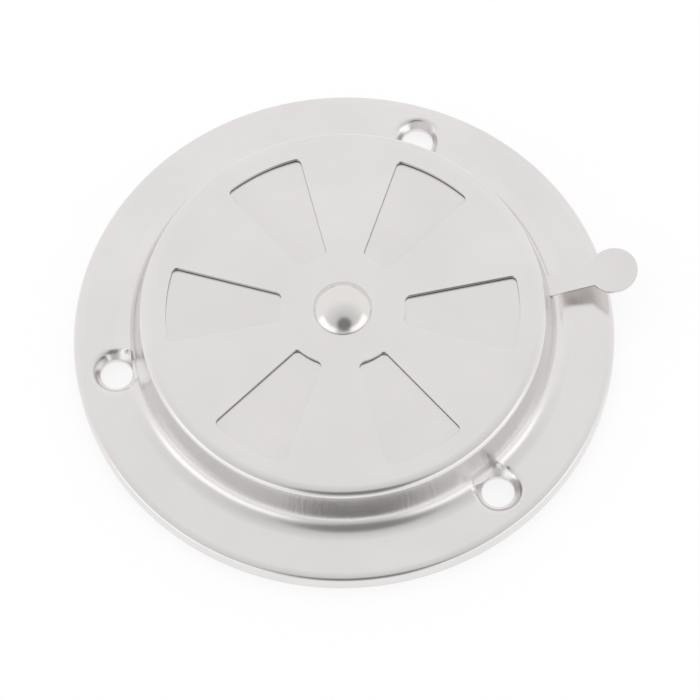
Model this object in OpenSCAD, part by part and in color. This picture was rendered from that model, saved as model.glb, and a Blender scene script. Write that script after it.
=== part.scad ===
// Round sliding ventilation grille, pressed from stainless steel sheet.
// +Z points out of the wall. The origin is the centre of the mounting plane,
// where the back of the turned-down rim lies. +X runs along the closed lever.

/* [Sheet] */
// Thickness of the sheet that the cover is pressed from
sheet_t = 0.6; // [0.5:0.05:0.8]

/* [Flange] */
// Outside diameter over the turned-down rim
flange_d = 102; // [100:1:140]
// Height of the flange's face above the mounting plane
flange_h = 3.5; // [3.2:0.1:6]
// Outside radius of the bend that turns the rim down
rim_bend_r = 1.7; // [1.2:0.1:2.4]

/* [Boss] */
// Outside diameter of the raised boss
boss_d = 76; // [60:1:78]
// Height of the boss's face above the flange's face
boss_rise = 8.9; // [8:0.1:14]
// Outside radius of the edge round the boss's face
boss_edge_r = 2; // [1.2:0.1:3]
// Radius of the hollow where the boss's wall meets the flange
boss_foot_r = 3.2; // [2:0.1:3.6]

/* [Openings] */
// Number of wedge-shaped air openings in the boss's face
openings = 6; // [4:1:8]
// Radius of the openings' inner ends
opening_inner_r = 11.7; // [9:0.1:16]
// Width of the ring of sheet left between the openings and the boss's wall
opening_land = 5; // [4:0.1:8]
// Angle between an opening's two sides, in degrees
opening_angle = 27.2; // [18:0.1:29]
// Radius of the openings' corners
opening_corner_r = 1; // [0.4:0.1:1.4]
// Angle from the closed lever to the next opening's middle, in degrees
opening_turn = -13; // [-15:0.5:-8]

/* [Screw holes] */
// Number of screw holes
screws = 3; // [3:1:3]
// Distance of the screw holes' centres in from the flange's edge
screw_inset = 7.5; // [6:0.1:8]
// Diameter of the screw holes
screw_hole_d = 6; // [4:0.1:6.4]
// Depth of the dimple from the flange's face to the hole's edge
dimple_depth = 1.55; // [1:0.05:1.9]
// Slope of the dimple's wall, in degrees
dimple_slope = 50; // [40:1:55]
// Radius of the rounded lip round the dimple
dimple_lip_r = 1.2; // [0.9:0.1:1.6]

/* [Shutter] */
// Thickness of the shutter's sheet
shutter_t = 0.6; // [0.5:0.05:0.8]
// Running gap between the shutter and the back of the boss's face
shutter_gap = 0.2; // [0.1:0.05:0.5]
// Gap between the shutter's rim and the bends that start beside it
shutter_rim_gap = 0.1; // [0.1:0.05:1]

/* [Lever] */
// Width of the lever's arm
lever_w = 4.3; // [3:0.1:6]
// Diameter of the round finger tab
tab_d = 9.2; // [7:0.1:14]
// Distance from the boss's wall to the middle of the finger tab
lever_reach = 13.8; // [12:0.1:20]
// Height of the lever's underside above the flange's face where it leaves the boss
lever_lift = 2.1; // [1.8:0.1:2.6]
// Upward slope of the lever outside the boss, in degrees
lever_slope = 8.5; // [4:0.5:14]
// Distance from the boss's wall to the bend where the slope begins
lever_bend_out = 1.8; // [1:0.1:4]
// Inside radius of the two bends that step the lever down inside the boss
lever_bend_r = 0.6; // [0.4:0.1:1]
// Gap between the lever and the inside of the boss's wall
lever_wall_gap = 0.6; // [0.4:0.05:1]
// Gap between the lever and the edges of its slot
slot_gap = 0.4; // [0.3:0.05:0.6]

/* [Rivet] */
// Diameter of the rivet's shank
rivet_d = 5; // [4:0.1:6]
// Diameter of the rivet's domed head
head_d = 11; // [8:0.1:14]
// Height of the rivet's domed head
head_h = 3; // [2.6:0.1:3.6]
// Radius of the shoulder round the domed head
head_shoulder_r = 1.6; // [1:0.1:1.7]
// Height at which the shoulder's curve starts above the boss's face
head_edge_h = 0.5; // [0.3:0.1:0.8]
// Diameter of the tail that is closed over the washer
tail_d = 8.4; // [7:0.1:10]
// Thickness of the closed tail
tail_h = 1.3; // [1:0.1:2]
// Radius of the tail's rounded edges
tail_edge_r = 0.7; // [0.3:0.1:0.8]
// Diameter of the hollow in the rivet's tail
hollow_d = 3; // [2:0.1:3.6]
// Depth of the hollow in the rivet's tail
hollow_depth = 3.4; // [2:0.1:4]
// Radial gap between the shank and the cover's and the washers' holes
rivet_gap = 0.05; // [0.02:0.01:0.1]
// Radial running gap between the shank and the shutter's hole
pivot_gap = 0.08; // [0.02:0.01:0.1]

/* [Washers] */
// Outside diameter of the dished spring washer
spring_d = 13; // [10:0.1:18]
// Thickness of the dished spring washer
spring_t = 0.4; // [0.3:0.05:0.6]
// Height by which the spring washer is dished
spring_dish = 0.35; // [0.2:0.05:0.8]
// Gap between the spring washer and the shutter
spring_gap = 0.05; // [0.02:0.01:0.1]
// Outside diameter of the flat back washer
washer_d = 10; // [9:0.1:16]
// Thickness of the flat back washer
washer_t = 0.8; // [0.5:0.1:1.5]

/* [Hidden] */
$fn = 128;
past = 1; // how far a cut runs on beyond the faces that it cuts
cross = 0.01; // how far a rounding runs on beyond the surfaces that it would only touch

flange_r = flange_d / 2;
boss_r = boss_d / 2;
boss_h = flange_h + boss_rise;
opening_outer_r = boss_r - opening_land;
pitch = 360 / openings;
travel = pitch / 2;

screw_pitch = 360 / screws;
screw_circle_r = flange_r - screw_inset;
hole_r = screw_hole_d / 2;
hole_edge_h = flange_h - dimple_depth;
lip_drop = dimple_lip_r * (1 - cos(dimple_slope));
lip_run = dimple_lip_r * sin(dimple_slope);
dimple_r = hole_r + lip_run + (dimple_depth - lip_drop) / tan(dimple_slope);
slope_top = flange_h + boss_foot_r;

shutter_top = boss_h - sheet_t - shutter_gap;
shutter_bottom = shutter_top - shutter_t;

arm_outer_x = boss_r - sheet_t - lever_wall_gap;
arm_bend_r = lever_bend_r + shutter_t;
shutter_r = min(boss_r - boss_edge_r, arm_outer_x - arm_bend_r) - shutter_rim_gap;
lever_root_x = (opening_outer_r + shutter_r) / 2;
lever_under = flange_h + lever_lift;
lever_top = lever_under + shutter_t;
lever_bend_x = boss_r + lever_bend_out;
lever_run = (lever_reach - lever_bend_out) / cos(lever_slope);
slot_bottom = lever_under - slot_gap;
slot_height = shutter_t + 2 * slot_gap;
slot_margin = asin((lever_w / 2 + slot_gap - slot_height / 2) / boss_r);

rivet_r = rivet_d / 2;
head_r = head_d / 2;
head_rise = head_h - head_edge_h;
crown_r = ((head_r - head_shoulder_r) ^ 2 + head_rise ^ 2 - head_shoulder_r ^ 2)
    / (2 * (head_rise - head_shoulder_r));
spring_bottom = shutter_bottom - spring_gap - spring_t - spring_dish;
washer_bottom = spring_bottom - washer_t;
tail_bottom = washer_bottom - tail_h;

steel = [0.84, 0.83, 0.82];
polished = [0.9, 0.9, 0.9];
spring_steel = [0.62, 0.61, 0.6];

// A rectangle between its lower left and upper right corners
module box(low, high) {
    translate(low) square(high - low);
}

// A slice of a disc about `centre` between two angles
module slice(centre, r, from, to) {
    reach = 2 * r;
    translate(centre) intersection() {
        circle(r);
        polygon([[0, 0], reach * [cos(from), sin(from)], reach * [cos(to), sin(to)]]);
    }
}

// A bend in sheet of the thickness `t`, seen from its side
module bend(centre, inner_r, t, from, to) {
    difference() {
        slice(centre, inner_r + t, from, to);
        translate(centre) circle(inner_r);
    }
}

// What rounding takes off a corner: all beyond the circle, between the directions from its
// centre to the two lines that meet there
module round_off(centre, r, from, to) {
    a = 2 * r * [cos(from), sin(from)];
    b = 2 * r * [cos(to), sin(to)];
    translate(centre) difference() {
        polygon([[0, 0], a, a + b, b]);
        circle(r + cross);
    }
}

// Half section of all that lies below the cover's sheet, down to the height `floor_h`.
// `depth` is 0 for the sheet's face, and its thickness for its back.
module below_sheet(depth, floor_h) {
    edge = [boss_r - boss_edge_r, boss_h - boss_edge_r];
    foot = [boss_r + boss_foot_r, flange_h + boss_foot_r];
    rim = [flange_r - rim_bend_r, flange_h - rim_bend_r];
    box([0, foot.y], [edge.x, boss_h - depth]);
    slice(edge, boss_edge_r - depth, 0, 90);
    box([edge.x, foot.y], [boss_r - depth, edge.y]);
    difference() {
        box([0, floor_h], foot);
        translate(foot) circle(boss_foot_r + depth);
    }
    box([foot.x, floor_h], [rim.x, flange_h - depth]);
    slice(rim, rim_bend_r - depth, 0, 90);
    box([rim.x, floor_h], [flange_r - depth, rim.y]);
}

// Places its children at each screw hole. The lever lies midway between two of them.
module at_screws() {
    for (i = [0 : screws - 1]) rotate(screw_pitch * (i + 0.5)) translate([screw_circle_r, 0]) children();
}

// The space over the screw dimples. Each slope starts inside its screw hole. The lip is
// rounded where it meets the flat flange, and towards the boss the slope runs straight up
// to the foot of the wall.
module dimple_space(depth) {
    slope = [1, tan(dimple_slope)];
    start = [hole_r, hole_edge_h - depth / cos(dimple_slope)] - past * slope;
    end = start + (slope_top - start.y) / slope.y * slope;
    difference() {
        at_screws() rotate_extrude()
            round_off([dimple_r, flange_h - dimple_lip_r], dimple_lip_r - depth, 90, 90 + dimple_slope);
        cylinder(r = boss_r + boss_foot_r, h = boss_h);
    }
    difference() {
        at_screws() rotate_extrude() polygon([[0, start.y], start, end, [0, end.y]]);
        cylinder(r = boss_r - depth + cross, h = boss_h);
    }
}

// Outline of one wedge-shaped opening along +X, with rounded corners
module opening() {
    half = opening_angle / 2;
    far = 2 * opening_outer_r;
    r = opening_corner_r;
    outer = opening_outer_r - r;
    inner = opening_inner_r + r;
    outer_turn = half - asin(r / outer);
    inner_turn = half - asin(r / inner);
    side_turn = half + 90;
    difference() {
        intersection() {
            circle(opening_outer_r);
            polygon([[0, 0], far * [cos(half), -sin(half)], far * [cos(half), sin(half)]]);
        }
        circle(opening_inner_r);
        for (side = [0, 1]) mirror([0, side]) {
            round_off(outer * [cos(outer_turn), sin(outer_turn)], r, outer_turn, side_turn);
            round_off(inner * [cos(inner_turn), sin(inner_turn)], r, side_turn, inner_turn + 180);
        }
    }
}

// Cuts all openings through the sheet between two heights, the first at the angle `turn`
module all_openings(turn, bottom, top) {
    for (i = [0 : openings - 1]) rotate(turn + i * pitch)
        translate([0, 0, bottom - past]) linear_extrude(top - bottom + 2 * past) opening();
}

// Slot in the boss's wall that the lever sweeps along, with round ends
module lever_slot() {
    inner = boss_r - sheet_t - past;
    rotate_extrude(angle = travel + 2 * slot_margin, start = -slot_margin)
        box([inner, slot_bottom], [boss_r + past, slot_bottom + slot_height]);
    for (turn = [-slot_margin, travel + slot_margin]) rotate(turn)
        translate([inner, 0, slot_bottom + slot_height / 2])
            rotate([0, 90]) cylinder(r = slot_height / 2 + cross, h = boss_r + past - inner);
}

module cover() {
    color(steel) difference() {
        rotate_extrude() below_sheet(0, 0);
        dimple_space(0);
        difference() {
            rotate_extrude() below_sheet(sheet_t, -past);
            dimple_space(sheet_t);
        }
        at_screws() cylinder(r = hole_r, h = flange_h + past);
        all_openings(opening_turn, boss_h - sheet_t, boss_h);
        translate([0, 0, boss_h - sheet_t - past])
            cylinder(r = rivet_r + rivet_gap, h = sheet_t + 2 * past);
        lever_slot();
    }
}

// Side view of the lever's arm: out from the shutter's rim, down inside the wall and out
// through the slot. Its flat end runs on a little inside the sloping plate.
module arm_side() {
    step = [arm_outer_x - shutter_t - lever_bend_r, shutter_bottom - lever_bend_r];
    exit = [arm_outer_x + lever_bend_r, lever_top + lever_bend_r];
    box([lever_root_x, shutter_bottom], [step.x, shutter_top]);
    bend(step, lever_bend_r, shutter_t, 0, 90);
    box([arm_outer_x - shutter_t, exit.y], [arm_outer_x, step.y]);
    bend(exit, lever_bend_r, shutter_t, 180, 270);
    box([exit.x, lever_under], [lever_bend_x + 2 * shutter_t * sin(lever_slope), lever_top]);
}

// Outline of the lever's sloping plate, with the round finger tab at its end
module lever_plate() {
    translate([0, -lever_w / 2]) square([lever_run, lever_w]);
    translate([lever_run, 0]) circle(d = tab_d);
}

module shutter() {
    color(steel) {
        difference() {
            translate([0, 0, shutter_bottom]) cylinder(r = shutter_r, h = shutter_t);
            all_openings(opening_turn + travel, shutter_bottom, shutter_top);
            translate([0, 0, shutter_bottom - past])
                cylinder(r = rivet_r + pivot_gap, h = shutter_t + 2 * past);
        }
        translate([0, lever_w / 2, 0]) rotate([90, 0]) linear_extrude(lever_w) arm_side();
        translate([lever_bend_x, 0, lever_top]) rotate([0, -lever_slope])
            translate([0, 0, -shutter_t]) linear_extrude(shutter_t) lever_plate();
    }
}

// Half section of the domed head: a flat crown with a tighter shoulder, on a short edge
module head_section() {
    shoulder = [head_r - head_shoulder_r, head_edge_h];
    crown = [0, head_h - crown_r];
    lean = atan2(shoulder.y - crown.y, shoulder.x);
    intersection() {
        union() {
            slice(crown, crown_r, lean, 90);
            slice(shoulder, head_shoulder_r, 0, lean);
            box([0, 0], [head_r, head_edge_h]);
        }
        box([0, 0], [head_r, head_h] + [past, past]);
    }
}

module rivet() {
    hollow_r = hollow_d / 2;
    edge = [tail_d / 2 - tail_edge_r, tail_bottom + tail_edge_r];
    mouth = [hollow_r + tail_edge_r, tail_bottom + tail_edge_r];
    color(polished) rotate_extrude() {
        translate([0, boss_h]) head_section();
        difference() {
            union() {
                box([0, washer_bottom], [rivet_r, boss_h]);
                box([0, tail_bottom], [edge.x, washer_bottom]);
                slice(edge, tail_edge_r, -90, 0);
                box(edge, [tail_d / 2, washer_bottom]);
            }
            box([0, tail_bottom - past], [hollow_r, tail_bottom + hollow_depth]);
            difference() {
                box([hollow_r, tail_bottom - past], mouth);
                translate(mouth) circle(tail_edge_r);
            }
        }
    }
}

module spring_washer() {
    inner = [rivet_r + rivet_gap, spring_bottom];
    outer = [spring_d / 2, spring_bottom + spring_dish];
    up = [0, spring_t];
    color(spring_steel) rotate_extrude() polygon([inner, outer, outer + up, inner + up]);
}

module back_washer() {
    color(spring_steel) translate([0, 0, washer_bottom]) difference() {
        cylinder(d = washer_d, h = washer_t);
        translate([0, 0, -past]) cylinder(r = rivet_r + rivet_gap, h = washer_t + 2 * past);
    }
}

cover();
shutter();
rivet();
spring_washer();
back_washer();
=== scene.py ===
from math import radians

import bmesh
import bpy
import numpy as np
from mathutils import Matrix, Vector


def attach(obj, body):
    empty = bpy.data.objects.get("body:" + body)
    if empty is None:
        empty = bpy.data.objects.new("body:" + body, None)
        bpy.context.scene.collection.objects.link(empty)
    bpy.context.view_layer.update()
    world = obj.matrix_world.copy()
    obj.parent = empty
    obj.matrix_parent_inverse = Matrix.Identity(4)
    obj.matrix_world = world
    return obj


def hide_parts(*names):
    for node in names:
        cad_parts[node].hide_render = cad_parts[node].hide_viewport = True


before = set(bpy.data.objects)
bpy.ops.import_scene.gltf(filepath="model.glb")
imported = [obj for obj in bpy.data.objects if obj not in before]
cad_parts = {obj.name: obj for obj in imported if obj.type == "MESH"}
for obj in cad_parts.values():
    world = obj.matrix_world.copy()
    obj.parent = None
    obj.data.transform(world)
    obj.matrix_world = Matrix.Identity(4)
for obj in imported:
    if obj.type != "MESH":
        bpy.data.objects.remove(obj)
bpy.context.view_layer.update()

# The camera stands where the photo was taken from: steeply above the grille, nearly over the
# middle of the near edge, and turned a little so that the lever points to the right.
mm = 0.001
camera_azimuth = radians(-8.7)
camera_elevation = radians(64.12)
camera_roll = radians(-2.45)
camera_place = Vector((1.14, -2.36, 613.6)) * mm
camera_lens = 166.6

camera = bpy.data.objects.new("camera", bpy.data.cameras.new("camera"))
camera.data.lens = camera_lens
camera.matrix_world = (
    Matrix.Rotation(camera_azimuth, 4, "Z")
    @ Matrix.Rotation(radians(90) - camera_elevation, 4, "X")
    @ Matrix.Rotation(camera_roll, 4, "Z")
    @ Matrix.Translation(camera_place)
)
bpy.context.collection.objects.link(camera)
bpy.context.scene.camera = camera
bpy.context.scene.view_settings.view_transform = "Standard"


# The grille lies on a white table in a tent of white cloth. Two wide lamps stand outside it,
# low down to the left and right, and there is a gap in the cloth on the camera's side. The
# metal shows the gap as thin dark lines on its bends, and the lamps as bright ones.
table_size = 6.0
table_colour = (0.3, 0.3, 0.3, 1)
table_lift = 0.76
tent_radius, tent_subdivisions = 2.0, 5
cloth_by_gap, cloth_away = 0.62, 0.94
cloth_ramp = radians(20), radians(78)
gap_elevation, gap_turn = radians(42), radians(4)
gap_share = 0.38
gap_ramp = radians(13), radians(30)
lamp_glow = 0.5
lamp_elevation, lamp_turn = radians(17), radians(53)
lamp_height_ramp = radians(4), radians(16)
lamp_width_ramp = radians(22), radians(40)


def put(tree, kind, wires=None, **settings):
    """Adds a node: settings are its own options, wires go to its inputs as links or values."""
    node = tree.nodes.new(kind)
    for name, value in settings.items():
        setattr(node, name, value)
    for name, source in (wires or {}).items():
        if isinstance(source, bpy.types.NodeSocket):
            tree.links.new(source, node.inputs[name])
        else:
            node.inputs[name].default_value = source
    return node


def reckon(tree, operation, *values):
    """One step of arithmetic in a node tree."""
    return put(tree, "ShaderNodeMath", dict(enumerate(values)), operation=operation).outputs[0]


def ramp(tree, value, span, to, shape="LINEAR"):
    """Takes a value from one span to another, and stops at its ends."""
    wires = {"Value": value, "From Min": span[0], "From Max": span[1], "To Min": to[0], "To Max": to[1]}
    return put(tree, "ShaderNodeMapRange", wires, interpolation_type=shape).outputs["Result"]


def blank_material(name):
    """A material with an empty node tree and its output node."""
    material = bpy.data.materials.new(name)
    material.use_nodes = True
    material.node_tree.nodes.clear()
    return material, material.node_tree, put(material.node_tree, "ShaderNodeOutputMaterial")


def white_table():
    """White board that stays white where the camera or the metal sees it, and keeps shadows."""
    material, tree, out = blank_material("white table")
    light = put(tree, "ShaderNodeLightPath").outputs
    seen = reckon(tree, "MAXIMUM", light["Is Camera Ray"], light["Is Glossy Ray"])
    seen = reckon(tree, "MAXIMUM", seen, light["Is Transmission Ray"])
    glow = put(tree, "ShaderNodeEmission",
               {"Color": (1, 1, 1, 1), "Strength": reckon(tree, "MULTIPLY", seen, table_lift)})
    board = put(tree, "ShaderNodeBsdfDiffuse", {"Color": table_colour})
    both = put(tree, "ShaderNodeAddShader", {0: board.outputs[0], 1: glow.outputs[0]})
    tree.links.new(both.outputs[0], out.inputs["Surface"])
    return material


def tent_direction(elevation, turn):
    """Direction to a place on the cloth, turned to the right from the camera's side."""
    about_z = Matrix.Rotation(camera_azimuth + turn, 3, "Z")
    return about_z @ Vector((0, -np.cos(elevation), np.sin(elevation)))


def tent_cloth():
    """White cloth: darker in and round the gap, and brighter at the two lamps."""
    material, tree, out = blank_material("tent cloth")
    place = put(tree, "ShaderNodeTexCoord").outputs["Object"]
    ray = put(tree, "ShaderNodeVectorMath", {0: place}, operation="NORMALIZE").outputs[0]

    def towards(elevation, turn):
        wires = {0: ray, 1: tent_direction(elevation, turn)}
        return put(tree, "ShaderNodeVectorMath", wires, operation="DOT_PRODUCT").outputs["Value"]

    def off(value, middle):
        return reckon(tree, "ABSOLUTE", reckon(tree, "SUBTRACT", value, middle))

    from_gap = reckon(tree, "ARCCOSINE", towards(gap_elevation, gap_turn))
    strength = reckon(tree, "MULTIPLY", ramp(tree, from_gap, cloth_ramp, (cloth_by_gap, cloth_away)),
                      ramp(tree, from_gap, gap_ramp, (gap_share, 1.0), "SMOOTHSTEP"))
    elevation = reckon(tree, "ARCSINE", towards(radians(90), 0))
    turn = reckon(tree, "ARCTAN2", towards(0, radians(90)), towards(0, 0))
    level = ramp(tree, off(elevation, lamp_elevation), lamp_height_ramp, (1.0, 0.0), "SMOOTHSTEP")
    beside = ramp(tree, off(off(turn, 0), lamp_turn), lamp_width_ramp, (1.0, 0.0), "SMOOTHSTEP")
    glow = reckon(tree, "MULTIPLY", reckon(tree, "MULTIPLY", level, beside), lamp_glow)
    cloth = put(tree, "ShaderNodeEmission", {"Strength": reckon(tree, "ADD", strength, glow)})
    tree.links.new(cloth.outputs[0], out.inputs["Surface"])
    return material


def studio_piece(name, mesh, material):
    """Puts one piece of the studio in the scene."""
    piece = bpy.data.objects.new(name, mesh)
    piece.data.materials.append(material)
    bpy.context.collection.objects.link(piece)
    return piece


def mesh_of(shape, name):
    """Turns an edited shape into a mesh."""
    mesh = bpy.data.meshes.new(name)
    shape.to_mesh(mesh)
    shape.free()
    return mesh


shape = bmesh.new()
bmesh.ops.create_grid(shape, x_segments=1, y_segments=1, size=table_size / 2)
studio_piece("table", mesh_of(shape, "table"), white_table())
shape = bmesh.new()
bmesh.ops.create_icosphere(shape, subdivisions=tent_subdivisions, radius=tent_radius)
tent = studio_piece("tent", mesh_of(shape, "tent"), tent_cloth())
tent.visible_camera = False

# Past the table the camera sees plain white, because the tent doesn't show to it.
world = bpy.data.worlds.new("white surroundings")
world.use_nodes = True
world.node_tree.nodes["Background"].inputs["Color"].default_value = (1, 1, 1, 1)
bpy.context.scene.world = world


# The cover is pressed from one stainless steel sheet, a little warm in tone and satin from
# the rolling mill. The blank is drawn into the raised boss with a rounded foot, its outer
# edge is turned down to the wall, and the holes are punched last.
sheet_t = 0.6
flange_r, flange_h, rim_edge_r = 51.0, 3.5, 1.0
boss_r, boss_h, boss_edge_r, boss_foot_r = 38.0, 12.4, 1.5, 4.1
easing_r, easing_turn = 4.0, radians(15)
wall_turn = radians(74)
rivet_hole_r = 2.55
cut_edge = 0.08
screws, screw_circle_r, first_screw = 3, 43.5, radians(60)
cover_steps, steps_near_screws = 420, 0.75
easing_steps, boss_edge_steps, wall_steps, foot_steps, rim_edge_steps = 5, 12, 16, 18, 10
row_gap = 0.25
seam_reach, smallest_edge = 0.001 * mm, 0.003 * mm
sharp_turn = radians(16)


def arc(centre, radius, start, end, steps):
    """Points along an arc of a side view. A turn is how far the surface leans out of level."""
    turns = np.linspace(start, end, steps + 1)
    return [(centre[0] + radius * np.sin(t), centre[1] + radius * np.cos(t)) for t in turns]


def leaning(turn):
    """Direction square to a surface that leans by a turn, in a side view."""
    return np.array([np.sin(turn), np.cos(turn)])


def edge_centres(outer_r, top, edge_r):
    """Centres of an edge's two arcs: the wide one that the sheet eases in with, and the tight
    one that would end upright at the outer radius."""
    apart = easing_r - edge_r
    easing = np.array([outer_r - edge_r - apart * np.sin(easing_turn), top - easing_r])
    return easing, easing + apart * leaning(easing_turn)


boss_easing, boss_edge = edge_centres(boss_r, boss_h, boss_edge_r)
rim_easing, rim_edge = edge_centres(flange_r, flange_h, rim_edge_r)
wall_top = boss_edge + boss_edge_r * leaning(wall_turn)
wall_drop = wall_top[1] - flange_h - boss_foot_r * (1 - np.cos(wall_turn))
wall_end = wall_top + wall_drop * np.array([1 / np.tan(wall_turn), -1])
foot = wall_end + boss_foot_r * leaning(wall_turn)


def sheet_line(depth):
    """Side view of the pressed sheet at a depth below its face, from the rivet to the rim."""
    flat = np.arange(foot[0] + row_gap, rim_easing[0], row_gap)
    wall = np.linspace(wall_top, wall_end, wall_steps + 1)[1:-1] - depth * leaning(wall_turn)
    return (
        [(rivet_hole_r, boss_h - depth), (boss_easing[0] - row_gap, boss_h - depth)]
        + arc(boss_easing, easing_r - depth, 0, easing_turn, easing_steps)
        + arc(boss_edge, boss_edge_r - depth, easing_turn, wall_turn, boss_edge_steps)[1:]
        + [tuple(point) for point in wall]
        + arc(foot, -boss_foot_r - depth, wall_turn, 0, foot_steps)
        + [(r, flange_h - depth) for r in flat]
        + arc(rim_easing, easing_r - depth, 0, easing_turn, easing_steps)
        + arc(rim_edge, rim_edge_r - depth, easing_turn, np.pi / 2, rim_edge_steps)[1:]
        + [(flange_r - depth, cut_edge)]
    )


def geometry_tree(name, sizes):
    """An empty geometry tree: a mesh goes in and out, and each size is a named input."""
    tree = bpy.data.node_groups.new(name, "GeometryNodeTree")
    tree.interface.new_socket("Geometry", in_out="INPUT", socket_type="NodeSocketGeometry")
    for label, kind in sizes.items():
        tree.interface.new_socket(label, in_out="INPUT", socket_type="NodeSocket" + kind)
    tree.interface.new_socket("Geometry", in_out="OUTPUT", socket_type="NodeSocketGeometry")
    return tree, put(tree, "NodeGroupInput").outputs, put(tree, "NodeGroupOutput")


def whole(tree, operation, first, second):
    """One step of arithmetic on whole numbers."""
    wires = {0: first, 1: second}
    return put(tree, "FunctionNodeIntegerMath", wires, operation=operation).outputs[0]


def closing(tree, geometry, material, out):
    """The last nodes of each tree: real geometry with its material."""
    real = put(tree, "GeometryNodeRealizeInstances", {"Geometry": geometry}).outputs[0]
    coated = put(tree, "GeometryNodeSetMaterial", {"Geometry": real, "Material": material})
    tree.links.new(coated.outputs[0], out.inputs["Geometry"])


def turning_tree():
    """Turns a side view, drawn as points in the XZ plane, about Z. The steps of the turn are
    finer at the screws, where the dimples need them."""
    tree, given, out = geometry_tree("turned section", {
        "Steps": "Int", "Screws": "Int", "First Screw": "Float", "Finer At Screws": "Float",
        "Material": "Material"})
    count = put(tree, "GeometryNodeAttributeDomainSize", {"Geometry": given["Geometry"]})
    rows = whole(tree, "ADD", given["Steps"], 1)
    grid = put(tree, "GeometryNodeMeshGrid",
               {"Vertices X": count.outputs["Point Count"], "Vertices Y": rows})
    index = put(tree, "GeometryNodeInputIndex").outputs[0]
    drawn = put(tree, "GeometryNodeSampleIndex", {
        "Geometry": given["Geometry"], "Value": put(tree, "GeometryNodeInputPosition").outputs[0],
        "Index": whole(tree, "DIVIDE_FLOOR", index, rows)}, data_type="FLOAT_VECTOR")
    drawn = put(tree, "ShaderNodeSeparateXYZ", {0: drawn.outputs[0]}).outputs
    share = reckon(tree, "DIVIDE", whole(tree, "MODULO", index, rows), given["Steps"])
    even = reckon(tree, "MULTIPLY", share, 2 * np.pi)
    wave = reckon(tree, "MULTIPLY", reckon(tree, "SUBTRACT", even, given["First Screw"]),
                  given["Screws"])
    pull = reckon(tree, "DIVIDE", given["Finer At Screws"], given["Screws"])
    turn = reckon(tree, "SUBTRACT", even,
                  reckon(tree, "MULTIPLY", reckon(tree, "SINE", wave), pull))
    place = put(tree, "ShaderNodeCombineXYZ", {
        "X": reckon(tree, "MULTIPLY", drawn["X"], reckon(tree, "COSINE", turn)),
        "Y": reckon(tree, "MULTIPLY", drawn["X"], reckon(tree, "SINE", turn)),
        "Z": drawn["Z"]})
    turned = put(tree, "GeometryNodeSetPosition",
                 {"Geometry": grid.outputs["Mesh"], "Position": place.outputs[0]})
    closed = put(tree, "GeometryNodeMergeByDistance",
                 {"Geometry": turned.outputs[0], "Distance": seam_reach})
    closing(tree, closed.outputs[0], given["Material"], out)
    return tree


def punching_tree():
    """Punches a sheet with the same punch a number of times round the middle."""
    tree, given, out = geometry_tree("punched ring", {
        "Punch": "Object", "Count": "Int", "First Angle": "Float", "Material": "Material"})
    centre = put(tree, "GeometryNodeMeshLine",
                 {"Count": given["Count"], "Start Location": (0, 0, 0), "Offset": (0, 0, 0)})
    tool = put(tree, "GeometryNodeObjectInfo", {"Object": given["Punch"], "As Instance": True})
    pitch = reckon(tree, "DIVIDE", 2 * np.pi, given["Count"])
    index = put(tree, "GeometryNodeInputIndex").outputs[0]
    turn = reckon(tree, "MULTIPLY_ADD", index, pitch, given["First Angle"])
    about_z = put(tree, "ShaderNodeCombineXYZ", {"Z": turn}).outputs[0]
    about_z = put(tree, "FunctionNodeEulerToRotation", {0: about_z}).outputs[0]
    tools = put(tree, "GeometryNodeInstanceOnPoints", {
        "Points": centre.outputs[0], "Instance": tool.outputs["Geometry"], "Rotation": about_z})
    tools = put(tree, "GeometryNodeRealizeInstances", {"Geometry": tools.outputs[0]})
    punched = put(tree, "GeometryNodeMeshBoolean",
                  {"Mesh 1": given["Geometry"], "Mesh 2": tools.outputs[0]},
                  operation="DIFFERENCE", solver="MANIFOLD")
    closing(tree, punched.outputs[0], given["Material"], out)
    return tree


def shaped(piece, tree, sizes):
    """Runs a geometry tree on a piece and keeps the result as its plain mesh."""
    modifier = piece.modifiers.new(tree.name, "NODES")
    modifier.node_group = tree
    for item in tree.interface.items_tree:
        if item.in_out == "INPUT" and item.name in sizes:
            modifier[item.identifier] = sizes[item.name]
    bpy.context.view_layer.update()
    done = piece.evaluated_get(bpy.context.evaluated_depsgraph_get())
    mesh = bpy.data.meshes.new_from_object(done)
    piece.modifiers.remove(modifier)
    piece.data = mesh
    mesh.name = piece.name


def drawn_piece(name, points, edges=(), faces=()):
    """A piece from points in millimetres."""
    mesh = bpy.data.meshes.new(name)
    mesh.from_pydata([[c * mm for c in point] for point in points], edges, faces)
    piece = bpy.data.objects.new(name, mesh)
    bpy.context.collection.objects.link(piece)
    return piece


def turned_piece(name, section, steps, material, finer=0.0):
    """A piece turned about Z from a side view: (distance from Z, height) points."""
    points = [(r, 0, z) for r, z in section]
    piece = drawn_piece(name, points, [(i, i + 1) for i in range(len(points) - 1)])
    shaped(piece, turning, {"Steps": steps, "Screws": screws, "First Screw": first_screw,
                            "Finer At Screws": finer, "Material": material})
    return piece


def capped_tube(name, rings):
    """A solid between rings of points that go the same way round, closed at both ends."""
    count = len(rings[0])
    last = (len(rings) - 1) * count
    faces = [(k + i, k + (i + 1) % count, k + count + (i + 1) % count, k + count + i)
             for k in range(0, last, count) for i in range(count)]
    faces += [tuple(range(count))[::-1], tuple(range(last, last + count))]
    return drawn_piece(name, np.concatenate(rings).tolist(), faces=faces)


def stacked(name, outline, levels):
    """A solid made of one outline, grown outwards by the first number at each level's height."""
    points, outward = outline
    rings = [np.c_[points + grow * outward, np.full(len(points), height)]
             for grow, height in levels]
    return capped_tube(name, rings)


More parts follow.
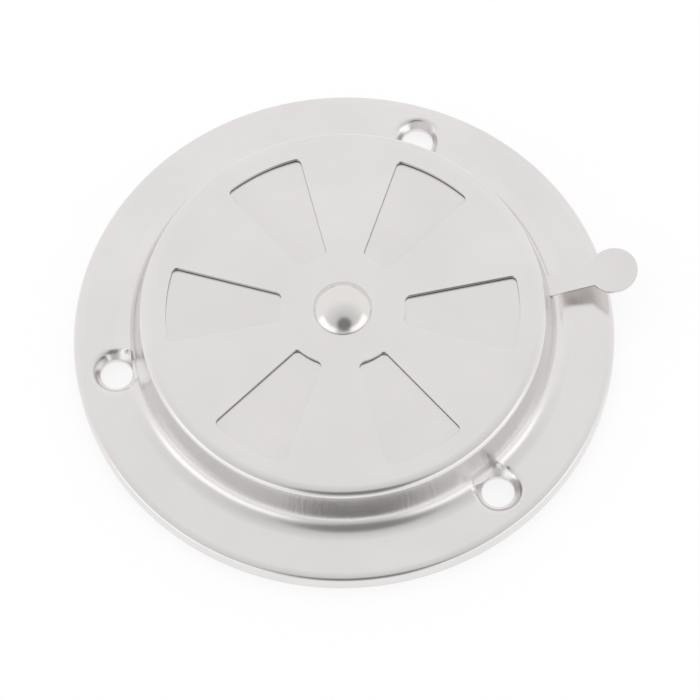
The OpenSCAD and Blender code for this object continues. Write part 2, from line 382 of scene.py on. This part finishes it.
def finish_surface(piece, steel):
    """Drops the slivers that the punches leave, and gives the piece one material and smooth
    shading up to its sheared edges."""
    shape = bmesh.new()
    shape.from_mesh(piece.data)
    bmesh.ops.remove_doubles(shape, verts=shape.verts, dist=smallest_edge)
    bmesh.ops.dissolve_degenerate(shape, dist=smallest_edge, edges=shape.edges)
    for face in shape.faces:
        face.smooth = True
        face.material_index = 0
    shape.to_mesh(piece.data)
    shape.free()
    piece.data.materials.clear()
    piece.data.materials.append(steel)
    piece.data.set_sharp_from_angle(angle=sharp_turn)


turning = turning_tree()
punching = punching_tree()

clouds_scale, lines_scale, peel_scale, streaks_scale = 70.0, 5000.0, 900.0, 1400.0
lines_stretch, streaks_stretch = 0.02, 0.08
clouds_detail, lines_detail, peel_detail, streaks_detail = 3.0, 4.0, 2.0, 3.0
noise_roughness, noise_span = 0.55, (0.3, 0.7)
lines_dull, clouds_dull, dull_spread = 0.6, 0.4, 0.2
lines_height, clouds_height, streaks_height = 0.15, 50.0, 60.0
clouds_tone = 0.955
drawn_r, drawn_reach, drawn_dull = 40.5, (2.2, 3.4), 0.25
streaks_r, streaks_reach = boss_r + 0.7, (0.5, 1.3)


def sheet_steel(name, colour, roughness, grain=0.000001, drawn=False):
    """Rolled stainless steel: cloudy on a wide scale, with fine rolling lines along X. Drawing
    leaves the boss's foot and wall duller, with lines up and down the wall."""
    material, tree, out = blank_material(name)
    place = put(tree, "ShaderNodeTexCoord").outputs["Object"]

    def noise(vector, scale, detail):
        wires = {"Vector": vector, "Scale": scale, "Detail": detail, "Roughness": noise_roughness}
        return put(tree, "ShaderNodeTexNoise", wires).outputs[0]

    clouds = noise(place, clouds_scale, clouds_detail)
    stretch = {"Vector": place, "Scale": (lines_stretch, 1, 1)}
    along = put(tree, "ShaderNodeMapping", stretch).outputs[0]
    lines = noise(along, lines_scale, lines_detail)
    peel = noise(place, peel_scale, peel_detail)
    dull = reckon(tree, "ADD", reckon(tree, "MULTIPLY", lines, lines_dull),
                  reckon(tree, "MULTIPLY", clouds, clouds_dull))
    rough = ramp(tree, dull, noise_span,
                 (roughness * (1 - dull_spread), roughness * (1 + dull_spread)))
    height = reckon(tree, "MULTIPLY_ADD", lines, lines_height, peel)
    height = reckon(tree, "MULTIPLY_ADD", clouds, clouds_height, height)
    if drawn:
        spot = put(tree, "ShaderNodeSeparateXYZ", {0: place}).outputs
        level = put(tree, "ShaderNodeCombineXYZ", {"X": spot["X"], "Y": spot["Y"]}).outputs[0]
        r = put(tree, "ShaderNodeVectorMath", {0: level}, operation="LENGTH").outputs["Value"]

        def ring(middle, reach):
            off = reckon(tree, "ABSOLUTE", reckon(tree, "SUBTRACT", r, middle * mm))
            return ramp(tree, off, (reach[0] * mm, reach[1] * mm), (1.0, 0.0))

        turn = reckon(tree, "ARCTAN2", spot["Y"], spot["X"])
        wall = put(tree, "ShaderNodeCombineXYZ", {
            "X": reckon(tree, "MULTIPLY", turn, boss_r * mm),
            "Y": reckon(tree, "MULTIPLY", spot["Z"], streaks_stretch)}).outputs[0]
        streaks = reckon(tree, "MULTIPLY", noise(wall, streaks_scale, streaks_detail),
                         ring(streaks_r, streaks_reach))
        height = reckon(tree, "MULTIPLY_ADD", streaks, streaks_height, height)
        duller = reckon(tree, "MULTIPLY_ADD", ring(drawn_r, drawn_reach), drawn_dull, 1.0)
        rough = reckon(tree, "MULTIPLY", rough, duller)
    tone = put(tree, "ShaderNodeMix", {
        0: ramp(tree, clouds, noise_span, (0.0, 1.0)), 6: [c * clouds_tone for c in colour] + [1],
        7: [*colour, 1]}, data_type="RGBA").outputs[2]
    bump = put(tree, "ShaderNodeBump", {"Strength": 1.0, "Distance": grain, "Height": height})
    shader = put(tree, "ShaderNodeBsdfPrincipled", {
        "Base Color": tone, "Metallic": 1.0, "Roughness": rough, "Normal": bump.outputs[0]})
    tree.links.new(shader.outputs[0], out.inputs["Surface"])
    return material


openings, opening_turn, opening_half = 6, radians(-13), radians(13.6)
opening_outer_r, opening_inner_r, opening_corner_r = 33.0, 11.7, 1.0
outer_steps, corner_steps, inner_steps = 8, 6, 5
same_place = 1e-6


def opening_outline():
    """One wedge-shaped opening along +X with rounded corners: its points and the directions
    that lead out of it."""
    half, r = opening_half, opening_corner_r
    outer_r, inner_r = opening_outer_r, opening_inner_r
    outer_turn = half - np.arcsin(r / (outer_r - r))
    inner_turn = half - np.arcsin(r / (inner_r + r))
    side_turn = half + np.pi / 2

    def bow(centre_r, centre_turn, radius, start, end, steps):
        """An arc seen from above, with its centre given by distance and turn."""
        turns = np.linspace(start, end, steps + 1)
        outward = np.c_[np.cos(turns), np.sin(turns)]
        centre = centre_r * np.array([np.cos(centre_turn), np.sin(centre_turn)])
        return centre + radius * outward, outward * np.sign(radius)

    stretches = [
        bow(0, 0, outer_r, 0, outer_turn, outer_steps),
        bow(outer_r - r, outer_turn, r, outer_turn, side_turn, corner_steps),
        bow(inner_r + r, inner_turn, r, side_turn, inner_turn + np.pi, corner_steps),
    ]
    points, outward = (np.concatenate(kind) for kind in zip(*stretches))
    turns = np.linspace(inner_turn, 0, inner_steps + 1)
    inner = np.c_[np.cos(turns), np.sin(turns)]
    points = np.concatenate([points, inner_r * inner])
    outward = np.concatenate([outward, -inner])
    flip = np.array([1, -1])
    points = np.concatenate([points, (points * flip)[::-1][1:-1]])
    outward = np.concatenate([outward, (outward * flip)[::-1][1:-1]])
    keep = np.linalg.norm(points - np.roll(points, 1, axis=0), axis=1) > same_place
    return points[keep], outward[keep]


punch_past, flare_past, flare_turns = 1.0, 0.5, np.radians([0, 30, 60])


def punch_levels(bottom, top, edge):
    """A punch from below the sheet to above its face, flared where the sheet's edge rolls in."""
    flare = [(edge * (1 - np.cos(t)), top - edge + edge * np.sin(t)) for t in flare_turns]
    last = flare[-1][0] + flare_past, flare[-1][1] + flare_past / np.tan(flare_turns[-1])
    return [(0, bottom - punch_past), *flare, last]


def circle_outline(radius, steps=48):
    """A circle: its points and the directions that lead out of it."""
    turns = np.arange(steps) * 2 * np.pi / steps
    outward = np.c_[np.cos(turns), np.sin(turns)]
    return radius * outward, outward


screw_hole_r = 3.0
dimple_depth, dimple_slope, dimple_lip = 1.55, radians(50), 0.5
dimple_r = screw_hole_r + dimple_depth / np.tan(dimple_slope)
dimple_side = radians(84)
dimple_from_r = 40.2
dimple_floor = 0.6
pressed_below, halvings = 8.5, 30
# How far a screw hole's edge opens, at heights from the dimple's lowest point.
screw_hole_edge = [(0, -0.15), (0.03, -0.05), (0.09, 0.04)]


def above_plain_sheet(r, z):
    """Height above the cover's face before the dimples, measured square to it, outside the boss."""
    from_r, from_z = r - foot[0], z - foot[1]
    above = np.where(from_r < 0, boss_foot_r - np.hypot(from_r, from_z), z - flange_h)
    up_wall = from_z * np.sin(wall_turn) - from_r * np.cos(wall_turn) > 0
    off_wall = from_r * np.sin(wall_turn) + from_z * np.cos(wall_turn) + boss_foot_r
    return np.where(up_wall, off_wall, above)


def above_sheet(x, y, z):
    """The same height with the dimples pressed in: a cone at each screw hole, with a steep side
    where it runs into the boss's foot."""
    r = np.hypot(x, y)
    above = above_plain_sheet(r, z)
    turns = first_screw + np.arange(screws) * 2 * np.pi / screws
    across = np.min([np.hypot(x - screw_circle_r * np.cos(t), y - screw_circle_r * np.sin(t))
                     for t in turns], axis=0)
    from_hole = z - (flange_h - dimple_depth)
    cone = from_hole * np.cos(dimple_slope) - (across - screw_hole_r) * np.sin(dimple_slope)
    into_foot = np.maximum(across - dimple_r, dimple_from_r - r)
    side = (z - flange_h) * np.cos(dimple_side) - into_foot * np.sin(dimple_side)
    pressed = np.minimum(np.minimum(cone, side), from_hole + dimple_floor)
    blend = np.maximum(dimple_lip - np.abs(above - pressed), 0) / dimple_lip
    return np.maximum(above, pressed) + blend ** 2 * dimple_lip / 4


def press_dimples(piece):
    """Moves the sheet's points near the screws down into the dimples, face and back alike."""
    place = np.empty(len(piece.data.vertices) * 3)
    piece.data.vertices.foreach_get("co", place)
    x, y, z = place.reshape(-1, 3).T / mm
    r = np.hypot(x, y)
    level = np.where(above_plain_sheet(r, z) > -sheet_t / 2, 0, -sheet_t)
    free = (z < pressed_below) & (r > boss_r) & (r < rim_easing[0])
    low, high = z - pressed_below, z.copy()
    for _ in range(halvings):
        middle = (low + high) / 2
        clear = above_sheet(x, y, middle) > level
        high = np.where(clear, middle, high)
        low = np.where(clear, low, middle)
    z = np.where(free, high, z)
    piece.data.vertices.foreach_set("co", (np.c_[x, y, z] * mm).ravel())
    piece.data.update()


travel, slot_end_room = radians(30), radians(2.79)
slot_h, slot_z = 1.4, 5.9
slot_from_r, slot_to_r = 37.7, 42.0
slot_steps, slot_end_steps = 24, 12


def slot_punch():
    """Cuts the lever's slot through the boss's wall, with round ends and room at both limits."""
    reach = (travel / 2 + slot_end_room) * boss_r
    straight = np.linspace(-reach, reach, slot_steps + 1)[:, None] * [1, 0]
    end = np.linspace(-np.pi / 2, np.pi / 2, slot_end_steps + 1)
    bow = np.c_[np.cos(end), np.sin(end)] * slot_h / 2
    outline = np.concatenate([
        straight + [0, -slot_h / 2], (bow + [reach, 0])[1:-1],
        straight[::-1] + [0, slot_h / 2], (-bow - [reach, 0])[1:-1]])
    turns = travel / 2 + outline[:, 0] / boss_r
    rings = [np.c_[r * np.cos(turns), r * np.sin(turns), slot_z + outline[:, 1]]
             for r in (slot_from_r, slot_to_r)]
    return capped_tube("slot punch", rings)


cover_colour, cover_roughness = (0.82, 0.797, 0.791), 0.18
cover_steel = sheet_steel("satin pressed steel", cover_colour, cover_roughness, drawn=True)
section = sheet_line(0) + [(flange_r - cut_edge, 0), (flange_r - sheet_t + cut_edge, 0)]
section += sheet_line(sheet_t)[::-1] + sheet_line(0)[:1]
cover = turned_piece("pressed_cover", section, cover_steps, cover_steel, steps_near_screws)
press_dimples(cover)

opening_edge = 0.12
opening_punch = stacked("opening punch", opening_outline(),
                        punch_levels(boss_h - sheet_t, boss_h, opening_edge))
hole_edge = [(grow, flange_h - dimple_depth + height) for grow, height in screw_hole_edge]
screw_punch = stacked("screw punch", circle_outline(screw_hole_r),
                      [(0, -punch_past), *hole_edge, (hole_edge[-1][0], boss_h)])
for vertex in screw_punch.data.vertices:
    vertex.co.x += screw_circle_r * mm
lever_slot_punch = slot_punch()
for punch, count, first in [(opening_punch, openings, opening_turn),
                            (screw_punch, screws, first_screw), (lever_slot_punch, 1, 0.0)]:
    shaped(cover, punching, {"Punch": punch, "Count": count, "First Angle": first,
                             "Material": cover_steel})
    bpy.data.objects.remove(punch)
finish_surface(cover, cover_steel)
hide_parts("cover")
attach(cover, "grille")


# The shutter is a flat disc stamped from the same steel, with the same six openings. Its
# lever is part of it: bent down inside the boss's wall, out through the slot and a little
# up to the round finger tab.
shutter_top, shutter_t, shutter_r, pivot_r = 11.6, 0.6, 35.5, 2.58
shutter_edge, corner_share = 0.1, 0.29
shutter_steps, tab_points, bend_step, cut_reach = 240, 60, 9, 1e-9
lever_half_w, tab_r, lever_root_x = 2.15, 4.6, 34.25
lever_bend_r, lever_root, lever_drop, lever_run, lever_reach = 0.9, 1.35, 3.6, 2.422, 12.155
lever_slope, slope_bend, slope_bend_half = 8.5, 0.445, 0.223


def softened(corners, cut):
    """A closed side view, for turning, whose corners are cut back by a small round."""
    corners = np.array(corners, float)
    points = []
    neighbours = zip(np.roll(corners, 1, axis=0), corners, np.roll(corners, -1, axis=0))
    for before, corner, after in neighbours:
        to_before = (before - corner) / np.linalg.norm(before - corner)
        to_after = (after - corner) / np.linalg.norm(after - corner)
        points += [corner + cut * to_before, corner + cut * corner_share * (to_before + to_after),
                   corner + cut * to_after]
    return [tuple(point) for point in [*points, points[0]]]


def lever_outline(length):
    """The flat lever: a straight arm that ends in a round tab. Its length is to the tab's middle."""
    neck = np.arcsin(lever_half_w / tab_r)
    turns = np.linspace(-np.pi + neck, np.pi - neck, tab_points)
    outward = np.c_[np.cos(turns), np.sin(turns)]
    points = [length, 0] + tab_r * outward
    sides = np.array([[0, lever_half_w], [0, -lever_half_w]])
    return np.concatenate([points, sides]), np.concatenate([outward, [[0, 1.0], [0, -1.0]]])


def bend_lever(piece, stretches):
    """Bends the flat lever along X: each stretch is a length and the turn in it, upwards
    positive. Rows of points are cut in first, where the bends are."""
    shape = bmesh.new()
    shape.from_mesh(piece.data)
    along = 0.0
    for length, turn in stretches:
        steps = max(1, int(abs(turn) / bend_step))
        for k in range(steps + 1):
            at = (along + length * k / steps) * mm
            if at > 0:
                every = shape.verts[:] + shape.edges[:] + shape.faces[:]
                bmesh.ops.bisect_plane(shape, geom=every, plane_co=(at, 0, 0), plane_no=(1, 0, 0),
                                       dist=cut_reach)
        along += length
    for vertex in shape.verts:
        x, z, heading, left = lever_root_x, shutter_top - shutter_t / 2, 0.0, vertex.co.x / mm
        for length, turn in stretches:
            step = min(left, length)
            bent = radians(turn) * step / length
            if turn and step:
                radius = length / radians(turn)
                x += radius * (np.sin(heading + bent) - np.sin(heading))
                z += radius * (np.cos(heading) - np.cos(heading + bent))
                heading += bent
            else:
                x += step * np.cos(heading)
                z += step * np.sin(heading)
            left -= step
        up = vertex.co.z / mm
        across = vertex.co.y / mm
        vertex.co = Vector((x - up * np.sin(heading), across, z + up * np.cos(heading))) * mm
    shape.to_mesh(piece.data)
    shape.free()


shutter_colour, shutter_roughness = (0.81, 0.787, 0.78), 0.2
shutter_steel = sheet_steel("satin shutter steel", shutter_colour, shutter_roughness)
shutter_back = shutter_top - shutter_t
disc = softened([(pivot_r, shutter_top), (shutter_r, shutter_top),
                 (shutter_r, shutter_back), (pivot_r, shutter_back)], shutter_edge)
shutter = turned_piece("shutter_and_lever", disc, shutter_steps, shutter_steel)
opening_punch = stacked("opening punch", opening_outline(),
                        punch_levels(shutter_back, shutter_top, shutter_edge))
shaped(shutter, punching, {"Punch": opening_punch, "Count": openings,
                           "First Angle": opening_turn + travel, "Material": shutter_steel})
bpy.data.objects.remove(opening_punch)
quarter = lever_bend_r * np.pi / 2
stretches = [(lever_root, 0), (quarter, -90), (lever_drop, 0), (quarter, 90),
             (lever_run - slope_bend_half, 0), (slope_bend, lever_slope),
             (lever_reach - slope_bend_half + tab_r, 0)]
to_tab = sum(length for length, _ in stretches) - tab_r
half_t, corner_cut = shutter_t / 2, corner_share * shutter_edge
upper_edge = [(0, half_t - shutter_edge), (-corner_cut, half_t - corner_cut), (-shutter_edge, half_t)]
lower_edge = [(grow, -height) for grow, height in reversed(upper_edge)]
lever = stacked("lever", lever_outline(to_tab), lower_edge + upper_edge)
bend_lever(lever, stretches)
lever.data.materials.append(shutter_steel)
union = shutter.modifiers.new("lever", "BOOLEAN")
union.operation, union.solver, union.object = "UNION", "MANIFOLD", lever
bpy.context.view_layer.update()
shutter.data = bpy.data.meshes.new_from_object(
    shutter.evaluated_get(bpy.context.evaluated_depsgraph_get()))
shutter.modifiers.clear()
bpy.data.objects.remove(lever)
finish_surface(shutter, shutter_steel)
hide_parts("shutter")
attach(shutter, "shutter")


# The rivet is turned and polished stainless steel. Its domed head lies on the boss's face,
# and its hollow tail is closed over the washers behind the shutter.
head_top, head_r, head_under_r, crown_r, head_edge_r = 15.4, 5.5, 5.44, 6.9, 0.5
shank_r, tail_r, tail_top, tail_bottom, tail_edge_r = 2.5, 4.2, 9.4, 8.1, 0.7
hollow_r, hollow_top = 1.5, 11.5
crown_steps, head_edge_steps, tail_edge_steps, rivet_steps = 20, 6, 8, 128
crown_turn = np.arcsin((head_r - head_edge_r) / (crown_r - head_edge_r))
crown = np.array([0, head_top - crown_r])
head_edge = crown + (crown_r - head_edge_r) * leaning(crown_turn)
tail_z = tail_bottom + tail_edge_r
rivet_section = (
    arc(crown, crown_r, 0, crown_turn, crown_steps)
    + arc(head_edge, head_edge_r, crown_turn, np.pi / 2, head_edge_steps)[1:]
    + [(head_under_r, boss_h), (shank_r, boss_h), (shank_r, tail_top), (tail_r, tail_top)]
    + arc((tail_r - tail_edge_r, tail_z), tail_edge_r, np.pi / 2, np.pi, tail_edge_steps)
    + arc((hollow_r + tail_edge_r, tail_z), tail_edge_r, np.pi, 1.5 * np.pi, tail_edge_steps)
    + [(hollow_r, hollow_top), (0, hollow_top)]
)
rivet_colour, rivet_roughness, rivet_grain = (0.82, 0.795, 0.78), 0.12, 0.0000005
rivet_steel = sheet_steel("polished rivet steel", rivet_colour, rivet_roughness, rivet_grain)
rivet = turned_piece("domed_rivet", rivet_section, rivet_steps, rivet_steel)
finish_surface(rivet, rivet_steel)
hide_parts("rivet")
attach(rivet, "grille")


# Two stamped steel washers lie behind the shutter: a dished one of spring steel that holds
# the shutter up to the cover, and a flat one that the rivet's tail is closed over.
washer_hole_r, washer_roughness, washer_steps = 2.55, 0.3, 96
spring_r, spring_t, spring_dish, spring_edge = 6.5, 0.4, 0.35, 0.08
washer_r, washer_top, washer_edge = 5.0, 10.2, 0.12
spring_colour, washer_colour = (0.5, 0.49, 0.48), (0.6, 0.59, 0.58)
spring_steel = sheet_steel("spring steel", spring_colour, washer_roughness)
washer_steel = sheet_steel("plain washer steel", washer_colour, washer_roughness)
spring_rim = washer_top + spring_dish
spring_section = [(washer_hole_r, washer_top + spring_t), (spring_r, spring_rim + spring_t),
                  (spring_r, spring_rim), (washer_hole_r, washer_top)]
washer_section = [(washer_hole_r, washer_top), (washer_r, washer_top),
                  (washer_r, tail_top), (washer_hole_r, tail_top)]
spring = turned_piece("spring_washer_ring", softened(spring_section, spring_edge),
                      washer_steps, spring_steel)
flat_washer = turned_piece("flat_washer_ring", softened(washer_section, washer_edge),
                           washer_steps, washer_steel)
for piece, node, name, steel in [(spring, "spring_washer", "spring_steel", spring_steel),
                                 (flat_washer, "back_washer", "washer_steel", washer_steel)]:
    finish_surface(piece, steel)
    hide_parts(node)
    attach(piece, "grille")
